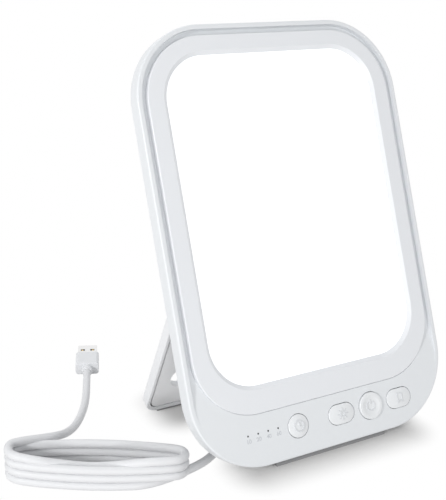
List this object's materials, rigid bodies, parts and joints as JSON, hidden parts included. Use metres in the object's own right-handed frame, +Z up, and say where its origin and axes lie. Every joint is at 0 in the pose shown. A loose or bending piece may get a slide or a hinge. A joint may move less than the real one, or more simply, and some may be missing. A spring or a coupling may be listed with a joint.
{
  "type": "light therapy lamp",
  "caption": "Slim tablet-shaped light therapy lamp with a lit panel, a chin of push buttons, a fold-out stand and a coiled USB cord.",
  "frame": {"origin": "centre of the flat face of the case foot, on the table", "axes": "+Z up, -Y towards the user, so the lit panel faces -Y and leans back 22.6 degrees; +X to the user's right"},
  "size_m": [0.2417, 0.1699, 0.214],
  "materials": {
    "case_plastic": "smooth satin-gloss white ABS",
    "diffuser_plastic": "milky opal acrylic, lit from behind",
    "clear_acrylic": "clear acrylic",
    "reflector_film": "white reflective film",
    "tray_metal": "rolled sheet",
    "board": "green solder mask",
    "strip_board": "white solder mask",
    "led_chip": "phosphor-filled chip",
    "switch_plastic": "black moulding",
    "header_plastic": "natural nylon",
    "wire_jacket": "red insulation",
    "steel": "zinc-plated steel",
    "washer_nylon": "natural nylon",
    "foot_rubber": "soft grey rubber",
    "cord_jacket": "satin white PVC",
    "plug_plastic": "satin white overmould",
    "shell_metal": "bright nickel-plated steel",
    "contact_gold": "gold-plated contacts"
  },
  "bodies": {
    "panel": {"front_case": "case_plastic", "bezel_frame": "case_plastic", "diffuser": "diffuser_plastic", "light_guide": "clear_acrylic", "reflector_sheet": "reflector_film", "backlight_tray": "tray_metal", "light_strip_left": "strip_board", "light_strip_right": "strip_board", "light_chips_left": "led_chip", "light_chips_right": "led_chip", "light_pipe": "clear_acrylic", "indicator_leds": "led_chip", "tact_switches": "switch_plastic", "control_board": "board", "board_screws": "steel", "board_parts": "switch_plastic", "wire_connectors": "header_plastic", "strip_leads": "wire_jacket", "cord_tail": "wire_jacket", "rear_cover": "case_plastic", "case_screws": "steel", "friction_washers": "washer_nylon", "case_foot": "foot_rubber", "strain_relief": "plug_plastic", "case_lead": "cord_jacket", "cord_coil": "cord_jacket", "plug_lead": "cord_jacket", "plug_collar": "plug_plastic", "plug_body": "plug_plastic", "plug_shell": "shell_metal", "plug_tongue": "header_plastic", "plug_contacts": "contact_gold"},
    "stand": {"stand_plate": "case_plastic", "hinge_pins": "steel", "stand_foot": "foot_rubber"},
    "timer_button": {"timer_button": "case_plastic"},
    "brightness_button": {"brightness_button": "case_plastic"},
    "power_button": {"power_button": "case_plastic"},
    "memory_button": {"memory_button": "case_plastic"}
  },
  "joints": [
    {"name": "stand_hinge", "type": "hinge", "parent": "panel", "child": "stand", "pos_m": [0, 0.04255, 0.07724], "axis": [1, 0, 0], "range_deg": [0, 131.3]},
    {"name": "timer_press", "type": "slide", "parent": "panel", "child": "timer_button", "axis": [0, 0.9232, -0.3843], "range_m": [0, 0.0005], "stiffness_N_per_m": 2000, "springref_m": -0.0005},
    {"name": "brightness_press", "type": "slide", "parent": "panel", "child": "brightness_button", "axis": [0, 0.9232, -0.3843], "range_m": [0, 0.0005], "stiffness_N_per_m": 2000, "springref_m": -0.0005},
    {"name": "power_press", "type": "slide", "parent": "panel", "child": "power_button", "axis": [0, 0.9232, -0.3843], "range_m": [0, 0.0005], "stiffness_N_per_m": 2000, "springref_m": -0.0005},
    {"name": "memory_press", "type": "slide", "parent": "panel", "child": "memory_button", "axis": [0, 0.9232, -0.3843], "range_m": [0, 0.0005], "stiffness_N_per_m": 2000, "springref_m": -0.0005}
  ]
}
